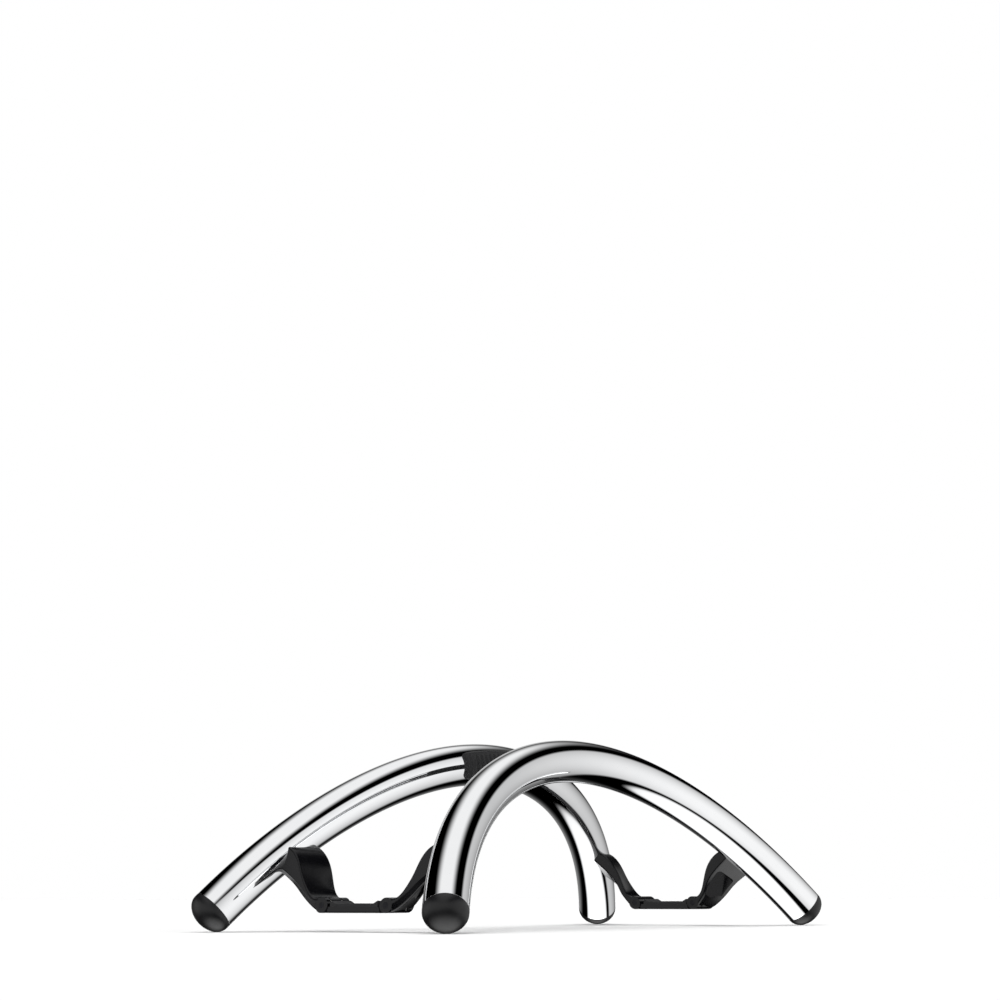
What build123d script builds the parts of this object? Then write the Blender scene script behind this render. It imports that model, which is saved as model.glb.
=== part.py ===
from build123d import *
from math import cos, degrees, radians, sin, sqrt
import os

# Upright two-arch laptop stand, in millimetres. X runs along the arches, Y across the
# slot that takes the laptop, Z up. The origin is on the table under the middle.
# Shapes are drawn for the rear right quarter (+X, +Y) and mirrored to the others.

# Arch tubes
TUBE_R = 6.27
TUBE_WALL = 1.2
ARCH_R = 130.0
ARCH_HALF_ANGLE = 51.8
ARCH_LEAN = 28.4
ARCH_TOP_Y = 15.9

# Foot caps
CAP_BAND = 0.85
CAP_DOME = 4.5
CAP_STEM = 9.0
CAP_STEM_R = 4.75
CAP_RIB_W = 1.2
CAP_RIB_PITCH = 2.6
CAP_RIB_START = 1.8
CAP_RIBS = 3
QUARTER_BEZIER = 0.5523  # the control arm that makes a Bezier curve a quarter ellipse

# Grip pads on the inner side of the arch tops
GRIP_HALF_ANGLE = 8.5
GRIP_T = 1.7
GRIP_WRAP = 74.0
GRIP_EDGE_R = 0.8

# Cradle: a short link under each end of the slot, hinged to an arm at either side
CRADLE_IN_X = 79.8
CRADLE_WIDTH = 10.5
CRADLE_BOTTOM = 5.2
PLATE_T = 1.7
PLATE_EDGE_R = 0.5
HINGE_Y = 11.0
KNUCKLE_R = 2.1
PIN_R = 0.8
PIN_RUNNING_GAP = 0.04
WASHER_BORE_GAP = 0.02
MID_KNUCKLE_W = 4.5
WASHER_T = 0.4
WASHER_R = 1.9
FACE_GAP = 0.06
SWING_GAP = 0.3

# Saddle pads that the laptop's edge rests on
PAD_T = 0.9
PAD_FLAT_HALF = 6.4
PAD_HALF = 8.2
PAD_RIM_T = 1.9
PAD_INSET = 0.5
STUD_R = 1.5
STUD_PITCH = 9.0
STUD_RECESS = 0.2

# Arms: side outlines in (Y, Z), from the hinge to the tube, at the arm's two side faces.
# The side faces lean towards the middle by ARM_SLANT for each millimetre of height.
ARM_SLANT = 0.18
ARM_TOP_INNER = [(11.9, 9.2), (13.4, 10.2), (14.7, 12.6), (15.5, 15.2), (16.9, 18.8), (19.8, 22.3),
                 (24.5, 24.6)]
ARM_TOP_OUTER = [(11.9, 9.2), (14.0, 9.3), (16.9, 12.0), (19.1, 15.6), (21.2, 20.0), (24.0, 23.0),
                 (29.0, 23.4)]
ARM_LOW_INNER = [(11.0, 5.2), (12.9, 6.6), (14.6, 8.5), (16.0, 10.5), (17.1, 13.1), (20.2, 17.1),
                 (26.8, 22.8)]
ARM_LOW_OUTER = [(11.0, 5.2), (14.2, 6.0), (16.8, 7.6), (19.3, 9.5), (22.3, 12.2), (24.8, 14.0),
                 (29.0, 16.4)]
# A long facet, cut from the outer side face into the under face, and the radii of the long
# edges, which are those longer than ARM_LONG_EDGE
ARM_FACET_SIDE = 2.2
ARM_FACET_UNDER = 1.2
ARM_OUTER_EDGE_R = 0.6
ARM_INNER_EDGE_R = 0.8
ARM_LONG_EDGE = 18.0

# The pocket in the arm's under face: its corners in (Y, Z) at its inner side, how far they are
# moved at its outer side, and the rims left beside the arm's inner and outer side faces
POCKET_CORNERS = [(15.4, 10.2), (19.9, 20.2), (25.3, 13.0), (18.6, 7.8)]
POCKET_SHIFT = (1.2, -3.3)
POCKET_RIM_INNER = 0.9
POCKET_RIM_OUTER = 2.6
POCKET_WALL = (0.0, 0.6, -0.8)
POCKET_CORNER_R = 1.2

# Arm fixing: a screw from the arm's pocket into a threaded insert in the tube
SCREW_ANGLE = 39.4
SCREW_TOWARDS = (0.0, -0.83, -0.56)
SCREW_R = 1.0
SCREW_HEAD_R = 1.75
SCREW_HEAD_H = 1.3
SCREW_HEAD_CHAMFER = 0.3
SCREW_HEX_R = 0.8
SCREW_HEX_DEPTH = 0.8
SCREW_SEAT = 9.6
SCREW_TIP = 1.6
HEAD_CLEARANCE = 0.2
SHANK_CLEARANCE = 0.1
INSERT_R = 2.0
INSERT_DEPTH = 5.2

# How far a cutting shape runs past the face it cuts
OVER = 3.0

# Worked out from the sizes above
BORE_R = TUBE_R - TUBE_WALL
CRADLE_OUT_X = CRADLE_IN_X + CRADLE_WIDTH
CRADLE_MID_X = CRADLE_IN_X + CRADLE_WIDTH / 2
HINGE_Z = CRADLE_BOTTOM + KNUCKLE_R
PLATE_TOP = CRADLE_BOTTOM + PLATE_T
SLOT_W = MID_KNUCKLE_W + 2 * (WASHER_T + 2 * FACE_GAP)

X_DIR = Vector(1, 0, 0)
DOWN_SLOPE = Vector(0, sin(radians(ARCH_LEAN)), -cos(radians(ARCH_LEAN)))
ARCH_AXIS = X_DIR.cross(DOWN_SLOPE)


def dome_reach():
    """How far the lowest point of a cap's dome is below the middle of the dome's rim."""
    slope = sin(radians(ARCH_HALF_ANGLE)) * cos(radians(ARCH_LEAN))
    return sqrt(TUBE_R**2 * (1 - slope**2) + CAP_DOME**2 * slope**2) + CAP_BAND * slope


ARCH_DROP = ARCH_R * (1 - cos(radians(ARCH_HALF_ANGLE))) * cos(radians(ARCH_LEAN))
ARCH_TOP = Vector(0, ARCH_TOP_Y, ARCH_DROP + dome_reach())
ARCH_CENTRE = ARCH_TOP + DOWN_SLOPE * ARCH_R


def arch_plane(angle):
    """The plane across the tube at an angle from the top: Z along the tube, X out of the arch's plane."""
    a = radians(angle)
    origin = ARCH_CENTRE - DOWN_SLOPE * (ARCH_R * cos(a)) + X_DIR * (ARCH_R * sin(a))
    return Plane(origin=origin, x_dir=ARCH_AXIS, z_dir=X_DIR * cos(a) + DOWN_SLOPE * sin(a))


def sweep_arch(section, start, end):
    """Turns a section, drawn in its own XY plane, along the arch between two angles."""
    placed = arch_plane(start).location * section
    return revolve(placed, axis=Axis(ARCH_CENTRE, ARCH_AXIS), revolution_arc=end - start)


def arch_rod(radius, angle=ARCH_HALF_ANGLE):
    return sweep_arch(Circle(radius), -angle, angle)


def screw_plane():
    """The screw's frame: origin on the tube's centre line, Z out of the tube towards the arm."""
    across = arch_plane(SCREW_ANGLE)
    towards = Vector(*SCREW_TOWARDS)
    out = (towards - across.z_dir * towards.dot(across.z_dir)).normalized()
    return Plane(origin=across.origin, x_dir=across.z_dir, z_dir=out)


def along_screw(radius, near, far):
    """A cylinder on the screw's axis, between two distances from the tube's centre line."""
    rod = Cylinder(radius, far - near, align=(Align.CENTER, Align.CENTER, Align.MIN))
    return screw_plane().location * (Pos(0, 0, near) * rod)


def along_x(radius, y, z, low, high):
    rod = Cylinder(radius, high - low, align=(Align.CENTER, Align.CENTER, Align.MIN))
    return Pos(low, y, z) * (Rot(0, 90, 0) * rod)


def arch_tube():
    tube = arch_rod(TUBE_R) - arch_rod(BORE_R)
    hole = along_screw(INSERT_R, 0, TUBE_R + TUBE_WALL)
    return tube - hole - mirror(hole, about=Plane.YZ)


def foot_cap():
    """A rubber cap: a domed end with a short band, and a ribbed stem that plugs the tube."""
    pole = CAP_BAND + CAP_DOME
    shoulder = CAP_BAND + QUARTER_BEZIER * CAP_DOME
    dome = Bezier((TUBE_R, CAP_BAND), (TUBE_R, shoulder), (QUARTER_BEZIER * TUBE_R, pole), (0, pole))
    sides = Polyline(dome @ 1, (0, 0), (TUBE_R, 0), dome @ 0)
    end = revolve(Plane.XZ * make_face([dome, sides]), axis=Axis.Z)
    cap = arch_plane(ARCH_HALF_ANGLE).location * end
    stem_angle = degrees(CAP_STEM / ARCH_R)
    root_angle = degrees(CAP_BAND / 2 / ARCH_R)
    cap += sweep_arch(Circle(CAP_STEM_R), ARCH_HALF_ANGLE - stem_angle, ARCH_HALF_ANGLE + root_angle)
    for n in range(CAP_RIBS):
        middle = ARCH_HALF_ANGLE - degrees((CAP_RIB_START + CAP_RIB_PITCH * n) / ARCH_R)
        half = degrees(CAP_RIB_W / 2 / ARCH_R)
        cap += sweep_arch(Circle(BORE_R), middle - half, middle + half)
    return cap


def grip_pad():
    """A thin pad that wraps the inner side of the tube at the top of the arch."""
    ring = Circle(TUBE_R + GRIP_T) - Circle(TUBE_R)
    half = GRIP_WRAP / 2
    far = 3 * TUBE_R
    reach = [(far * cos(radians(a)), far * sin(radians(a))) for a in (-half, 0, half)]
    sector = make_face(Polyline((0, 0), *reach, (0, 0)))
    section = ring & sector
    section = fillet(section.vertices().group_by(SortBy.DISTANCE)[-1], GRIP_EDGE_R)
    return sweep_arch(Rot(0, 0, 180 - ARCH_LEAN) * section, -GRIP_HALF_ANGLE, GRIP_HALF_ANGLE)


def on_side(points, share):
    """Outline points as places on the slanted plane a share of the way across the arm."""
    x = CRADLE_IN_X + CRADLE_WIDTH * share
    return [Vector(x - ARM_SLANT * (z - CRADLE_BOTTOM), y, z) for y, z in points]


def outline_face(top, low):
    """A face between two smooth curves, closed by straight ends."""
    edges = [Spline(*top), Line(top[-1], low[-1]), Spline(*reversed(low)), Line(low[0], top[0])]
    return Face(Wire(edges))


def long_edges(body):
    """The edges that run the arm's length, from its inner side to its outer side."""
    return body.edges().filter_by(lambda edge: edge.length > ARM_LONG_EDGE).sort_by(Axis.X)


def arm_body():
    sides = []
    for share, top, low in ((0, ARM_TOP_INNER, ARM_LOW_INNER), (1, ARM_TOP_OUTER, ARM_LOW_OUTER)):
        sides.append(outline_face(on_side(top, share), on_side(low, share)))
    body = loft(sides, ruled=True)
    outer_side = body.faces().sort_by(Axis.X)[-1]
    low_outer = long_edges(body)[-2:].sort_by(Axis.Z)[:1]
    body = chamfer(low_outer, ARM_FACET_SIDE, ARM_FACET_UNDER, reference=outer_side)
    body = fillet(long_edges(body)[2:], ARM_OUTER_EDGE_R)
    return fillet(long_edges(body)[:2], ARM_INNER_EDGE_R)


def slanted_slab():
    """The space between the arm's two slanted side planes, near the hinge."""
    around = HINGE_Z - CRADLE_BOTTOM + OVER
    corners = [(HINGE_Y, HINGE_Z - around), (HINGE_Y, HINGE_Z + around)]
    points = on_side(corners, 0) + on_side(reversed(corners), 1)
    face = make_face(Polyline(*points, points[0]))
    return extrude(face, amount=around, dir=(0, 1, 0), both=True)


def arm_pocket():
    """The hollow in the arm's under face, whose upper wall seats the screw."""
    moved = [(y + POCKET_SHIFT[0], z + POCKET_SHIFT[1]) for y, z in POCKET_CORNERS]
    near = on_side(POCKET_CORNERS, POCKET_RIM_INNER / CRADLE_WIDTH)
    far = on_side(moved, 1 - POCKET_RIM_OUTER / CRADLE_WIDTH)
    across = far[0] - near[0]
    face = make_face(Polyline(*near, near[0]))
    pocket = extrude(face, amount=across.length, dir=across.normalized())
    walls = [edge for edge in pocket.edges() if abs((edge % 0).dot(Vector(*POCKET_WALL))) > 0.9]
    return fillet(walls, POCKET_CORNER_R)


def arm():
    low, high = CRADLE_IN_X - OVER, CRADLE_OUT_X + OVER
    knuckle = along_x(KNUCKLE_R, HINGE_Y, HINGE_Z, low, high) & slanted_slab()
    slot_low = CRADLE_MID_X - SLOT_W / 2
    slot = along_x(KNUCKLE_R + SWING_GAP, HINGE_Y, HINGE_Z, slot_low, slot_low + SLOT_W)
    pin_bore = along_x(PIN_R + PIN_RUNNING_GAP, HINGE_Y, HINGE_Z, low, high)
    seat = along_screw(SCREW_HEAD_R + HEAD_CLEARANCE, SCREW_SEAT, SCREW_SEAT + SCREW_HEAD_H)
    shank_hole = along_screw(SCREW_R + SHANK_CLEARANCE, 0, SCREW_SEAT)
    body = arm_body() + knuckle
    return body - arch_rod(TUBE_R) - slot - pin_bore - arm_pocket() - seat - shank_hole


def arm_screw():
    top = SCREW_SEAT + SCREW_HEAD_H
    shank = along_screw(SCREW_R, SCREW_TIP, top - SCREW_HEX_DEPTH)
    head = along_screw(SCREW_HEAD_R, SCREW_SEAT, top)
    head = chamfer(head.edges().filter_by(GeomType.CIRCLE).sort_by(Axis.Z)[0], SCREW_HEAD_CHAMFER)
    hexagon = extrude(RegularPolygon(SCREW_HEX_R, 6), amount=SCREW_HEX_DEPTH)
    socket = screw_plane().location * (Pos(0, 0, top - SCREW_HEX_DEPTH) * hexagon)
    return shank + head - socket


def threaded_insert():
    body = along_screw(INSERT_R, TUBE_R - INSERT_DEPTH, TUBE_R + OVER) & arch_rod(TUBE_R)
    return body - along_screw(SCREW_R, 0, TUBE_R + OVER)


def cradle_base():
    """The link: a thin plate with a knuckle at each end, between the arms' knuckles."""
    width = CRADLE_WIDTH - ARM_SLANT * PLATE_T
    slab = Box(width, 2 * HINGE_Y, PLATE_T)
    slab = fillet(slab.edges().filter_by(Axis.Y).group_by(Axis.Z)[0], PLATE_EDGE_R)
    base = Pos(CRADLE_MID_X - ARM_SLANT * PLATE_T / 2, 0, CRADLE_BOTTOM + PLATE_T / 2) * slab
    low = CRADLE_MID_X - MID_KNUCKLE_W / 2
    high = low + MID_KNUCKLE_W
    for y in (-HINGE_Y, HINGE_Y):
        for start, stop in ((CRADLE_IN_X - OVER, low), (high, CRADLE_OUT_X + OVER)):
            base -= along_x(KNUCKLE_R + SWING_GAP, y, HINGE_Z, start, stop)
            base -= Pos((start + stop) / 2, y, HINGE_Z) * Box(stop - start, 2 * KNUCKLE_R, 4 * KNUCKLE_R)
        base += along_x(KNUCKLE_R, y, HINGE_Z, low, high)
        base -= along_x(PIN_R, y, HINGE_Z, low, high)
    for y in (-STUD_PITCH / 2, STUD_PITCH / 2):
        base -= Pos(CRADLE_MID_X, y, CRADLE_BOTTOM) * Cylinder(STUD_R, 4 * PLATE_T)
    return base


def saddle_pad():
    """A soft pad with raised sides, held by two studs through the link."""
    top = PLATE_TOP + PAD_T
    section = Polyline(
        (-PAD_HALF, PLATE_TOP), (PAD_HALF, PLATE_TOP), (PAD_HALF, PLATE_TOP + PAD_RIM_T),
        (PAD_FLAT_HALF, top), (-PAD_FLAT_HALF, top), (-PAD_HALF, PLATE_TOP + PAD_RIM_T),
        (-PAD_HALF, PLATE_TOP))
    start = CRADLE_IN_X + PAD_INSET
    pad = Pos(start, 0, 0) * extrude(Plane.YZ * make_face(section), amount=CRADLE_WIDTH - 2 * PAD_INSET)
    for y in (-STUD_PITCH / 2, STUD_PITCH / 2):
        stud = Cylinder(STUD_R, PLATE_T - STUD_RECESS, align=(Align.CENTER, Align.CENTER, Align.MIN))
        pad += Pos(CRADLE_MID_X, y, CRADLE_BOTTOM + STUD_RECESS) * stud
    return pad


def hinge_pin():
    """A pin whose ends are flush with the arm's slanted side faces."""
    return along_x(PIN_R, HINGE_Y, HINGE_Z, CRADLE_IN_X - OVER, CRADLE_OUT_X + OVER) & slanted_slab()


def hinge_washers():
    """The two thin washers between the link's knuckle and the arm's."""
    washers = []
    for side in (-1, 1):
        middle = CRADLE_MID_X + side * (MID_KNUCKLE_W / 2 + FACE_GAP + WASHER_T / 2)
        low, high = middle - WASHER_T / 2, middle + WASHER_T / 2
        disc = along_x(WASHER_R, HINGE_Y, HINGE_Z, low, high)
        washers.append(disc - along_x(PIN_R + WASHER_BORE_GAP, HINGE_Y, HINGE_Z, low, high))
    return Compound(washers)


def save(name, shape):
    export_step(shape, "parts/" + name + ".step")


def main():
    os.makedirs("parts", exist_ok=True)
    ends = {"left": True, "right": False}
    halves = {"front": True, "rear": False}
    cradle = {"cradle_base": cradle_base(), "saddle_pad": saddle_pad()}
    whole = {"arch_tube": arch_tube(), "grip_pad": grip_pad()}
    quarter = {
        "foot_cap": foot_cap(),
        "arm": arm(),
        "arm_screw": arm_screw(),
        "threaded_insert": threaded_insert(),
        "hinge_pin": hinge_pin(),
        "hinge_washers": hinge_washers(),
    }
    for end, flip_x in ends.items():
        for name, shape in cradle.items():
            save(end + "_" + name, mirror(shape, about=Plane.YZ) if flip_x else shape)
    for half, flip_y in halves.items():
        for name, shape in whole.items():
            save(half + "_" + name, mirror(shape, about=Plane.XZ) if flip_y else shape)
        for end, flip_x in ends.items():
            for name, shape in quarter.items():
                placed = mirror(shape, about=Plane.YZ) if flip_x else shape
                placed = mirror(placed, about=Plane.XZ) if flip_y else placed
                save(half + "_" + end + "_" + name, placed)


main()
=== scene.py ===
import math

import bmesh
import bpy
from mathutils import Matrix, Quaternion, Vector


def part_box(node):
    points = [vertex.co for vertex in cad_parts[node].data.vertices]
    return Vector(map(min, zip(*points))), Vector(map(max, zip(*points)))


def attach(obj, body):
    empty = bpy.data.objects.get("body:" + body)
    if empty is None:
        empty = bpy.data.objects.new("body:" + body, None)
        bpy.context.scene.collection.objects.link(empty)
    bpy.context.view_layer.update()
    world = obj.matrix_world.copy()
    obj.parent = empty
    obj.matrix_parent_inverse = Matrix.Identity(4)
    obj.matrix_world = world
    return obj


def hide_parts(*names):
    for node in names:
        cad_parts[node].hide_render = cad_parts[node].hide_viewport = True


# An upright laptop stand: two chromed arches with rubber feet, joined by small black arms to a
# padded cradle at each end. The tubes, the grip pads and the saddle pads are drawn finely here,
# in the places of their CAD solids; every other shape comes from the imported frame.
# Lengths are in metres and angles in radians.

CAMERA_AT = (-0.6510, -0.4228, 0.0101)
CAMERA_TOWARDS = (0.8221, 0.5481, 0.1543)
CAMERA_ROLL = math.radians(-0.15)
CAMERA_OWN_AXIS = (0.0, 0.0, 1.0)
CAMERA_LENS = 90.96
CAMERA_SENSOR = 36.0
CAMERA_NEAR = 0.01
CAMERA_FAR = 50.0

# The arches, as in the CAD, and how many faces a tube has round it, along it and along its bore
TUBE_R = 0.00627
TUBE_WALL = 0.0012
TUBE_CHAMFER = 0.00006
ARCH_R = 0.130
ARCH_HALF_ANGLE = math.radians(51.8)
ARCH_LEAN = math.radians(28.4)
TUBE_ROUND = 72
TUBE_ALONG = 170
BORE_ALONG = 20

# The grip pads: a moulded pad with ribs across it, rounded at every edge. The faces are counted
# along and across the pad, and a crowding of 0 spaces them evenly.
GRIP_HALF_ANGLE = math.radians(8.5)
GRIP_WRAP = math.radians(74.0)
GRIP_T = 0.0017
GRIP_EDGE = 0.0011
GRIP_RIB_PITCH = 0.0021
GRIP_RIB_DEPTH = 0.00042
GRIP_RIB_MARGIN = 0.0016
GRIP_ALONG = 260
GRIP_ALONG_CROWDING = 0.25
GRIP_ACROSS = 56
GRIP_ACROSS_CROWDING = 0.4

# The saddle pads, with two studs that hold each in its link
PLATE_T = 0.0017
PAD_T = 0.0009
PAD_FLAT_HALF = 0.0064
PAD_EDGE = 0.0005
PAD_RIB_PITCH = 0.0013
PAD_RIB_DEPTH = 0.00028
PAD_RIB_MARGIN = 0.0005
PAD_ALONG = 40
PAD_ALONG_CROWDING = 0.4
PAD_ACROSS = 150
PAD_ACROSS_CROWDING = 0.2
STUD_R = 0.00149
STUD_EDGE = 0.0003
STUD_PITCH = 0.009
STUD_ROUND = 32

# Meshes: points closer than this are one, and edges sharper than this shade as corners
SAME_PLACE = 0.0000001
SHARP_ANGLE = math.radians(30.0)

# Chrome: scales of the smudges, of the haze in them and of the plating's ripple
CHROME_DARK = (0.86, 0.87, 0.885)
CHROME_LIGHT = (0.95, 0.953, 0.958)
CHROME_ROUGHNESS = (0.03, 0.085)
SMUDGE_SCALE = 55.0
SMUDGE_RANGE = (0.45, 0.75)
HAZE_SCALE = 340.0
HAZE_RANGE = (0.35, 0.75)
RIPPLE_SCALE = 160.0
RIPPLE_DEPTH = 0.000004

# Moulded polymers: scales of the uneven patches and of the finest grain
PATCH_SCALE = 130.0
FINE_SCALE = 1900.0
FINE_SHARE = 0.5

# Steel: scales of the mottling and of the turned rings, which are squeezed along X
MOTTLE_SCALE = 700.0
RING_SCALE = 700.0
RING_SQUEEZE = (14.0, 1.0, 1.0)
RING_DEPTH = 0.000006

# The part of a noise's values that a finish's roughness runs over
NOISE_RANGE = (0.3, 0.7)

# The studio's lights: how bright each is, then the soft edges that bound it. An edge is a
# direction and two cosines to it, between which the light comes up. "overhead" is the ceiling,
# "sweep" the ground and the others stand round the sides. The gaps between them are unlit.
UP = (0.0, 0.0, 1.0)
DOWN = (0.0, 0.0, -1.0)
STUDIO = {
    "overhead": (0.86, [((-0.445, 0.789, 0.425), -0.13, 0.18),
                        ((0.249, -0.874, 0.417), -0.25, 0.15),
                        (UP, 0.33, 0.66)]),
    "sweep": (0.96, [(DOWN, 0.70, 0.78)]),
    "side": (0.80, [((-0.940, -0.342, 0.0), 0.35, 0.95), (UP, -0.32, -0.22), (DOWN, -0.50, -0.38)]),
    "rear": (0.85, [((-0.866, 0.500, 0.0), 0.30, 0.85), (UP, -0.45, -0.35), (DOWN, -0.52, -0.42)]),
    "behind": (0.50, [((0.757, 0.635, 0.156), 0.945, 0.995)]),
    "glow": (0.22, [((0.766, 0.643, 0.0), 0.70, 0.95), (UP, -0.60, -0.05), (DOWN, -0.20, 0.0)]),
}
# The front wall fades evenly from one side to the other between two soft edges
FRONT_LEVEL = 0.92
FRONT_FADE = ((0.342, -0.940, 0.0), -0.04, 0.96)
FRONT_EDGES = [((0.361, -0.516, 0.777), -0.05, 0.05), ((0.263, -0.599, -0.756), -0.05, 0.05)]
STUDIO_LEVEL = 1.1
# The middle of the sweep is lit more strongly, which the black pieces show as highlights
SWEEP_LAMP = (1.5, [(DOWN, 0.78, 0.95)])
WHITE = (1.0, 1.0, 1.0, 1.0)

FLOOR_REACH = 4.0
FLOOR_CLOUD_SCALE = 3.0
FLOOR_DARK = (0.90, 0.90, 0.90)
FLOOR_LIGHT = (0.93, 0.93, 0.93)
FLOOR_ROUGHNESS = 0.9
SKYLIGHT_SPREAD = math.radians(70.0)
SKYLIGHT_ENERGY = 1.9
SKYLIGHT_TURN = (math.radians(-12.0), math.radians(14.0), 0.0)

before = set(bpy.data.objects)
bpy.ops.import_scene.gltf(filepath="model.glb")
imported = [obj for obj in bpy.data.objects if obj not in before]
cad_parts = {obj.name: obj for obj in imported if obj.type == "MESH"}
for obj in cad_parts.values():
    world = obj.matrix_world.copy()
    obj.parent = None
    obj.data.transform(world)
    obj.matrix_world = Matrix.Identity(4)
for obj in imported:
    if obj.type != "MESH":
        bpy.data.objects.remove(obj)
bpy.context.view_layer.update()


# Node building ---------------------------------------------------------------------------------

class Tree:
    """Short calls for building one node tree."""

    def __init__(self, tree):
        self.tree = tree
        tree.nodes.clear()

    def add(self, kind, **settings):
        node = self.tree.nodes.new(kind)
        for name, value in settings.items():
            setattr(node, name, value)
        return node

    def put(self, socket, value):
        if isinstance(value, bpy.types.NodeSocket):
            self.tree.links.new(value, socket)
        else:
            socket.default_value = value

    def math(self, operation, a, b):
        node = self.add("ShaderNodeMath", operation=operation)
        self.put(node.inputs[0], a)
        self.put(node.inputs[1], b)
        return node.outputs[0]

    def ramp(self, value, start, end, to_low=0.0, to_high=1.0, smooth=False):
        node = self.add("ShaderNodeMapRange")
        node.interpolation_type = "SMOOTHSTEP" if smooth else "LINEAR"
        for name, item in (("Value", value), ("From Min", start), ("From Max", end),
                           ("To Min", to_low), ("To Max", to_high)):
            self.put(node.inputs[name], item)
        return node.outputs["Result"]

    def dot(self, vector, direction):
        node = self.add("ShaderNodeVectorMath", operation="DOT_PRODUCT")
        self.put(node.inputs[0], vector)
        node.inputs[1].default_value = direction
        return node.outputs["Value"]

    def noise(self, coords, scale, detail, roughness=0.5):
        node = self.add("ShaderNodeTexNoise")
        self.put(node.inputs["Vector"], coords)
        self.put(node.inputs["Scale"], scale)
        self.put(node.inputs["Detail"], detail)
        self.put(node.inputs["Roughness"], roughness)
        return node.outputs["Fac"]

    def cells(self, coords, scale):
        node = self.add("ShaderNodeTexVoronoi", feature="SMOOTH_F1")
        self.put(node.inputs["Vector"], coords)
        self.put(node.inputs["Scale"], scale)
        return node.outputs["Distance"]

    def mix(self, share, a, b):
        node = self.add("ShaderNodeMix", data_type="RGBA")
        colour_a, colour_b = [s for s in node.inputs if s.type == "RGBA"]
        self.put(node.inputs["Factor"], share)
        self.put(colour_a, (*a, 1.0))
        self.put(colour_b, (*b, 1.0))
        return [s for s in node.outputs if s.type == "RGBA"][0]

    def bump(self, height, distance, normal=None):
        node = self.add("ShaderNodeBump")
        self.put(node.inputs["Height"], height)
        self.put(node.inputs["Distance"], distance)
        self.put(node.inputs["Strength"], 1.0)
        if normal is not None:
            self.put(node.inputs["Normal"], normal)
        return node.outputs["Normal"]


def new_material(name):
    material = bpy.data.materials.new(name)
    material.use_nodes = True
    t = Tree(material.node_tree)
    shader = t.add("ShaderNodeBsdfPrincipled")
    output = t.add("ShaderNodeOutputMaterial")
    t.put(output.inputs["Surface"], shader.outputs[0])
    coords = t.add("ShaderNodeTexCoord").outputs["Object"]
    return material, t, shader, coords


# Finishes --------------------------------------------------------------------------------------

def chrome():
    """Bright plating: faint smudges that dull it, and the slightest ripple."""
    material, t, shader, coords = new_material("chromed_tube")
    smudge = t.noise(coords, SMUDGE_SCALE, detail=4.0, roughness=0.6)
    haze = t.noise(coords, HAZE_SCALE, detail=5.0, roughness=0.65)
    t.put(shader.inputs["Base Color"], t.mix(smudge, CHROME_DARK, CHROME_LIGHT))
    shader.inputs["Metallic"].default_value = 1.0
    dull = t.math("MULTIPLY", t.ramp(smudge, *SMUDGE_RANGE), t.ramp(haze, *HAZE_RANGE))
    t.put(shader.inputs["Roughness"], t.ramp(dull, 0.0, 1.0, *CHROME_ROUGHNESS))
    ripple = t.noise(coords, RIPPLE_SCALE, detail=1.0)
    t.put(shader.inputs["Normal"], t.bump(ripple, RIPPLE_DEPTH))
    return material


def moulded(name, dark, light, roughness, grain_scale, grain_depth, ior):
    """A moulded polymer: fine spark grain, slight unevenness of tone and of gloss."""
    material, t, shader, coords = new_material(name)
    patches = t.noise(coords, PATCH_SCALE, detail=4.0, roughness=0.6)
    fine = t.noise(coords, FINE_SCALE, detail=3.0, roughness=0.6)
    t.put(shader.inputs["Base Color"], t.mix(t.math("MULTIPLY", patches, fine), dark, light))
    t.put(shader.inputs["Roughness"], t.ramp(patches, *NOISE_RANGE, *roughness))
    shader.inputs["IOR"].default_value = ior
    grain = t.bump(t.cells(coords, grain_scale), grain_depth)
    t.put(shader.inputs["Normal"], t.bump(fine, grain_depth * FINE_SHARE, grain))
    return material


def steel(name, dark, light, roughness):
    """Turned and treated steel: fine rings round the X axis, mottled treatment."""
    material, t, shader, coords = new_material(name)
    mottle = t.noise(coords, MOTTLE_SCALE, detail=4.0, roughness=0.6)
    squeezed = t.add("ShaderNodeMapping")
    t.put(squeezed.inputs["Vector"], coords)
    squeezed.inputs["Scale"].default_value = RING_SQUEEZE
    rings = t.noise(squeezed.outputs[0], RING_SCALE, detail=2.0)
    t.put(shader.inputs["Base Color"], t.mix(mottle, dark, light))
    shader.inputs["Metallic"].default_value = 1.0
    t.put(shader.inputs["Roughness"], t.ramp(rings, *NOISE_RANGE, *roughness))
    t.put(shader.inputs["Normal"], t.bump(rings, RING_DEPTH))
    return material


finishes = {
    "chromed_tube": chrome(),
    "black_rubber": moulded(
        "black_rubber", dark=(0.003, 0.003, 0.004), light=(0.009, 0.009, 0.010),
        roughness=(0.34, 0.46), grain_scale=3800.0, grain_depth=0.000008, ior=1.44),
    "black_silicone": moulded(
        "black_silicone", dark=(0.012, 0.012, 0.013), light=(0.034, 0.034, 0.036),
        roughness=(0.50, 0.64), grain_scale=2600.0, grain_depth=0.000012, ior=1.42),
    "black_moulding": moulded(
        "black_moulding", dark=(0.002, 0.002, 0.003), light=(0.007, 0.007, 0.008),
        roughness=(0.18, 0.27), grain_scale=4600.0, grain_depth=0.0000025, ior=1.37),
    "black_steel": steel(
        "black_steel", dark=(0.012, 0.012, 0.014), light=(0.040, 0.040, 0.044),
        roughness=(0.26, 0.42)),
    "plated_steel": steel(
        "plated_steel", dark=(0.52, 0.51, 0.47), light=(0.72, 0.71, 0.68),
        roughness=(0.24, 0.40)),
    "white_acetal": moulded(
        "white_acetal", dark=(0.62, 0.61, 0.58), light=(0.80, 0.79, 0.76),
        roughness=(0.34, 0.46), grain_scale=3000.0, grain_depth=0.000006, ior=1.49),
}

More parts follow.
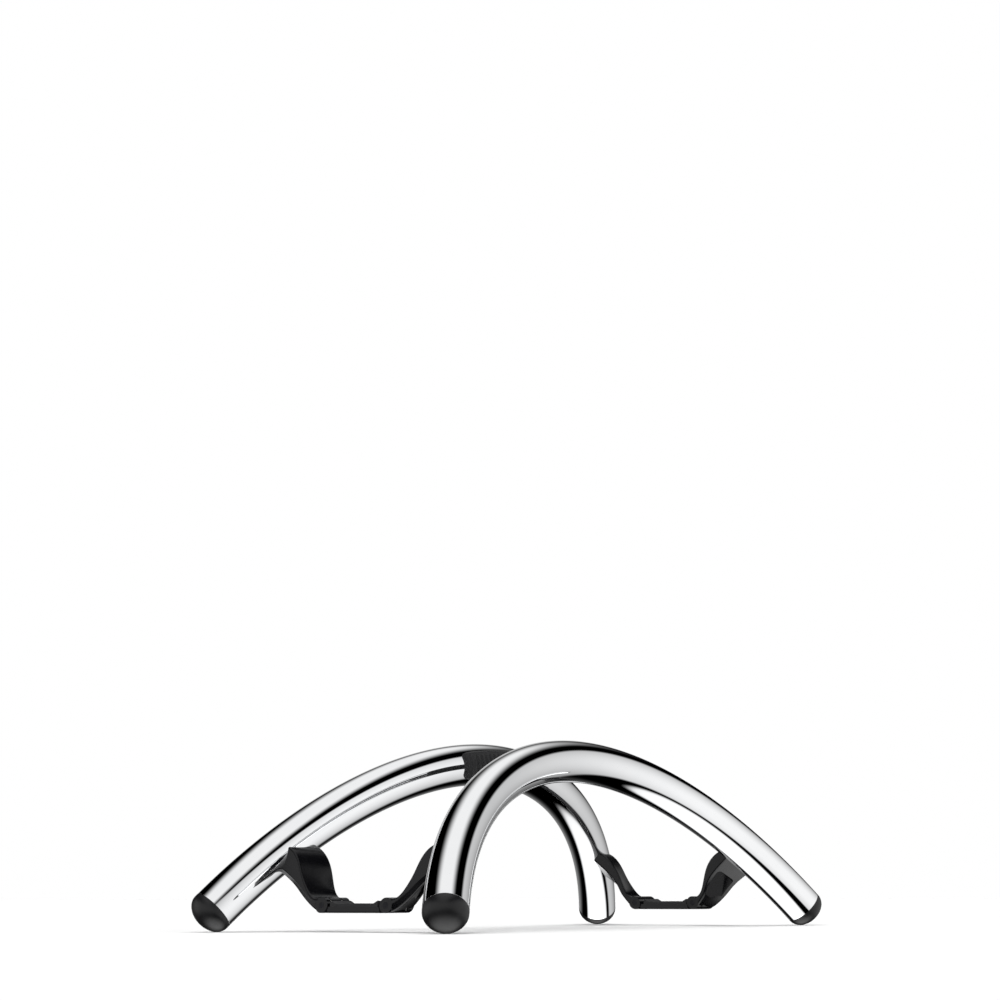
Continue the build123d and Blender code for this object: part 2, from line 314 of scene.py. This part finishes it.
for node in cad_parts.values():
    for slot in node.material_slots:
        slot.material = finishes[slot.material.name.split(".")[0]]


# Pieces ----------------------------------------------------------------------------------------

class Arch:
    """Places on one arch, by the angle from its top and a place in the tube's section."""

    def __init__(self, half):
        self.side = 1.0 if half == "rear" else -1.0
        low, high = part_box(half + "_arch_tube")
        top_y = low[1] + TUBE_R if half == "rear" else -high[1] + TUBE_R
        self.down = Vector((0.0, math.sin(ARCH_LEAN), -math.cos(ARCH_LEAN)))
        self.axis = Vector((0.0, math.cos(ARCH_LEAN), math.sin(ARCH_LEAN)))
        self.centre = Vector((0.0, top_y, high[2] - TUBE_R)) + self.down * ARCH_R

    def at(self, along, round_angle, radius):
        out = Vector((math.sin(along), 0.0, 0.0)) - self.down * math.cos(along)
        place = out * math.cos(round_angle) + self.axis * math.sin(round_angle)
        point = self.centre + out * ARCH_R + place * radius
        return Vector((point.x, point.y * self.side, point.z))


def make_piece(name, points, faces, smooth, body, slot):
    """A mesh in one finish that rides on a body."""
    mesh = bpy.data.meshes.new(name)
    mesh.from_pydata(points, [], faces)
    shape = bmesh.new()
    shape.from_mesh(mesh)
    bmesh.ops.remove_doubles(shape, verts=shape.verts, dist=SAME_PLACE)
    bmesh.ops.recalc_face_normals(shape, faces=shape.faces)
    shape.to_mesh(mesh)
    shape.free()
    mesh.polygons.foreach_set("use_smooth", smooth)
    mesh.set_sharp_from_angle(angle=SHARP_ANGLE)
    mesh.update()
    mesh.materials.append(finishes[slot])
    piece = bpy.data.objects.new(name, mesh)
    bpy.context.scene.collection.objects.link(piece)
    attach(piece, body)
    return piece


def tube(half):
    """The chromed tube: outer wall, a small chamfer and a flat at each end, and the bore."""
    arch = Arch(half)
    wall_half = ARCH_HALF_ANGLE - TUBE_CHAMFER / ARCH_R
    walls = [(wall_half * (2 * n / TUBE_ALONG - 1), TUBE_R) for n in range(TUBE_ALONG + 1)]
    ends = [(-ARCH_HALF_ANGLE, TUBE_R - TUBE_CHAMFER), (ARCH_HALF_ANGLE, TUBE_R - TUBE_CHAMFER)]
    bore = [(ARCH_HALF_ANGLE * (1 - 2 * n / BORE_ALONG), TUBE_R - TUBE_WALL)
            for n in range(BORE_ALONG + 1)]
    rings = [ends[0]] + walls + [ends[1]] + bore
    flat = {0, len(walls), len(walls) + 1, len(rings) - 1}
    points = [arch.at(along, 2 * math.pi * k / TUBE_ROUND, radius)
              for along, radius in rings for k in range(TUBE_ROUND)]
    faces = []
    smooth = []
    for n in range(len(rings)):
        here, there = n * TUBE_ROUND, (n + 1) % len(rings) * TUBE_ROUND
        for k in range(TUBE_ROUND):
            after = (k + 1) % TUBE_ROUND
            faces.append((here + k, here + after, there + after, there + k))
            smooth.append(n not in flat)
    piece = make_piece(half + "_chromed_tube", points, faces, smooth, half + "_arch",
                       "chromed_tube")
    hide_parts(half + "_arch_tube")


def rounded(distance, edge):
    """How high a rounded edge stands, from 0 to 1, at a distance in from its foot."""
    share = min(max(distance / edge, 0.0), 1.0)
    return math.sqrt(1 - (1 - share) ** 2)


def groove(distance, pitch):
    """How deep a row of rounded grooves is, from 0 to 1, at a distance along it."""
    return (0.5 - 0.5 * math.cos(2 * math.pi * distance / pitch)) ** 2


def spread(count, crowding):
    """Places from -1 to 1, closer together towards both ends."""
    return [crowding * -math.cos(math.pi * n / count) + (1 - crowding) * (2 * n / count - 1)
            for n in range(count + 1)]


def pad_shell(place, height, us, vs):
    """A closed pad: its top stands height(u, v) over its foot, and both meet at the border."""
    points = [place(u, v, height(u, v)) for u in us for v in vs]
    points += [place(u, v, 0.0) for u in us for v in vs]
    row = len(vs)
    corners = [layer + i * row + j for layer in (0, len(us) * row)
               for i in range(len(us) - 1) for j in range(row - 1)]
    return points, [(c, c + 1, c + row + 1, c + row) for c in corners]


def lathe(centre, profile, count):
    """A turned shape about a vertical axis, from (radius, height) points."""
    turns = [2 * math.pi * k / count for k in range(count)]
    points = [(centre[0] + radius * math.cos(turn), centre[1] + radius * math.sin(turn), height)
              for radius, height in profile for turn in turns]
    faces = [(n * count + k, n * count + (k + 1) % count,
              (n + 1) * count + (k + 1) % count, (n + 1) * count + k)
             for n in range(len(profile) - 1) for k in range(count)]
    return points, faces


def grip(half):
    """The pad on the slot side of the arch's top: rounded edges, ribs across, a smooth border."""
    arch = Arch(half)
    half_length = GRIP_HALF_ANGLE * ARCH_R
    half_width = GRIP_WRAP / 2 * TUBE_R
    middle = ARCH_LEAN - math.pi / 2

    def place(u, v, height):
        return arch.at(u * GRIP_HALF_ANGLE, middle + v * GRIP_WRAP / 2, TUBE_R + height)

    def height(u, v):
        in_long = half_length * (1 - abs(u))
        in_wide = half_width * (1 - abs(v))
        rise = rounded(in_long, GRIP_EDGE) * rounded(in_wide, GRIP_EDGE)
        ribbed = rounded(min(in_long, in_wide) - GRIP_RIB_MARGIN, GRIP_EDGE)
        return GRIP_T * rise - GRIP_RIB_DEPTH * ribbed * groove(u * half_length, GRIP_RIB_PITCH)

    points, faces = pad_shell(place, height, spread(GRIP_ALONG, GRIP_ALONG_CROWDING),
                              spread(GRIP_ACROSS, GRIP_ACROSS_CROWDING))
    piece = make_piece(half + "_grip", points, faces, [True] * len(faces), half + "_arch",
                       "black_silicone")
    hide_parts(half + "_grip_pad")


def saddle(end):
    """The pad under the laptop's edge: raised sides, ribs along the slot, two studs below."""
    low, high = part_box(end + "_saddle_pad")
    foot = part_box(end + "_cradle_base")[0][2] + PLATE_T
    middle_x = (low[0] + high[0]) / 2
    half_x = (high[0] - low[0]) / 2
    half_y = high[1]
    side_rise = high[2] - foot - PAD_T

    def place(u, v, height):
        return (middle_x + u * half_x, v * half_y, foot + height)

    def height(u, v):
        in_x = half_x * (1 - abs(u))
        in_y = half_y * (1 - abs(v))
        from_middle = abs(v) * half_y
        climb = max((from_middle - PAD_FLAT_HALF) / (half_y - PAD_FLAT_HALF), 0.0)
        rise = rounded(in_x, PAD_EDGE) * rounded(in_y, PAD_EDGE)
        ribbed = rounded(min(in_x, PAD_FLAT_HALF - from_middle) - PAD_RIB_MARGIN, PAD_EDGE)
        cut = PAD_RIB_DEPTH * ribbed * groove(v * half_y, PAD_RIB_PITCH)
        return (PAD_T + side_rise * climb) * rise - cut

    points, faces = pad_shell(place, height, spread(PAD_ALONG, PAD_ALONG_CROWDING),
                              spread(PAD_ACROSS, PAD_ACROSS_CROWDING))
    profile = [(0.0, low[2]), (STUD_R - STUD_EDGE, low[2]), (STUD_R, low[2] + STUD_EDGE),
               (STUD_R, foot), (0.0, foot)]
    for y in (-STUD_PITCH / 2, STUD_PITCH / 2):
        stud_points, stud_faces = lathe((middle_x, y), profile, STUD_ROUND)
        faces += [tuple(len(points) + corner for corner in face) for face in stud_faces]
        points += stud_points
    piece = make_piece(end + "_saddle", points, faces, [True] * len(faces), "cradle",
                       "black_silicone")
    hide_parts(end + "_saddle_pad")


for half in ("front", "rear"):
    tube(half)
    grip(half)
for end in ("left", "right"):
    saddle(end)


# Studio ----------------------------------------------------------------------------------------

def studio():
    """A white room as mirror-bright metal sees it, by direction alone. The camera sees white."""
    world = bpy.data.worlds.new("studio")
    bpy.context.scene.world = world
    world.use_nodes = True
    t = Tree(world.node_tree)
    way = t.add("ShaderNodeTexCoord").outputs["Generated"]

    def bounded(light, edges):
        for direction, start, end in edges:
            edge = t.ramp(t.dot(way, direction), start, end, smooth=True)
            light = t.math("MULTIPLY", light, edge)
        return light

    fade_way, fade_start, fade_end = FRONT_FADE
    fade = t.ramp(t.dot(way, fade_way), fade_start, fade_end, 0.0, FRONT_LEVEL)
    light = bounded(fade, FRONT_EDGES)
    for level, edges in STUDIO.values():
        light = t.math("MAXIMUM", light, bounded(level, edges))
    light = t.math("MULTIPLY", light, STUDIO_LEVEL)
    lit = t.add("ShaderNodeBackground")
    lit.inputs["Color"].default_value = WHITE
    t.put(lit.inputs["Strength"], t.math("ADD", light, bounded(*SWEEP_LAMP)))
    backdrop = t.add("ShaderNodeBackground")
    backdrop.inputs["Color"].default_value = WHITE
    join = t.add("ShaderNodeMixShader")
    t.put(join.inputs[0], t.add("ShaderNodeLightPath").outputs["Is Camera Ray"])
    t.put(join.inputs[1], lit.outputs[0])
    t.put(join.inputs[2], backdrop.outputs[0])
    t.put(t.add("ShaderNodeOutputWorld").inputs["Surface"], join.outputs[0])


def floor():
    """A plain white floor. The metal sees the studio's sweep instead of it."""
    mesh = bpy.data.meshes.new("floor")
    corners = [(-FLOOR_REACH, -FLOOR_REACH, 0), (FLOOR_REACH, -FLOOR_REACH, 0),
               (FLOOR_REACH, FLOOR_REACH, 0), (-FLOOR_REACH, FLOOR_REACH, 0)]
    mesh.from_pydata(corners, [], [(0, 1, 2, 3)])
    plane = bpy.data.objects.new("floor", mesh)
    bpy.context.scene.collection.objects.link(plane)
    material, t, shader, coords = new_material("floor")
    cloud = t.noise(coords, FLOOR_CLOUD_SCALE, detail=2.0)
    t.put(shader.inputs["Base Color"], t.mix(cloud, FLOOR_DARK, FLOOR_LIGHT))
    shader.inputs["Roughness"].default_value = FLOOR_ROUGHNESS
    shader.inputs["Specular IOR Level"].default_value = 0.0
    mesh.materials.append(material)
    plane.visible_glossy = False


def skylight():
    """A broad light from above that only the floor and the matt pieces show."""
    data = bpy.data.lights.new("skylight", "SUN")
    data.angle = SKYLIGHT_SPREAD
    data.energy = SKYLIGHT_ENERGY
    lamp = bpy.data.objects.new("skylight", data)
    lamp.rotation_euler = SKYLIGHT_TURN
    lamp.visible_glossy = False
    bpy.context.scene.collection.objects.link(lamp)


def camera():
    data = bpy.data.cameras.new("camera")
    data.lens = CAMERA_LENS
    data.sensor_width = CAMERA_SENSOR
    data.clip_start = CAMERA_NEAR
    data.clip_end = CAMERA_FAR
    viewer = bpy.data.objects.new("camera", data)
    viewer.location = CAMERA_AT
    viewer.rotation_mode = "QUATERNION"
    turn = Vector(CAMERA_TOWARDS).to_track_quat("-Z", "Y")
    viewer.rotation_quaternion = turn @ Quaternion(CAMERA_OWN_AXIS, CAMERA_ROLL)
    bpy.context.scene.collection.objects.link(viewer)
    bpy.context.scene.camera = viewer


studio()
floor()
skylight()
camera()
bpy.context.scene.view_settings.view_transform = "Standard"
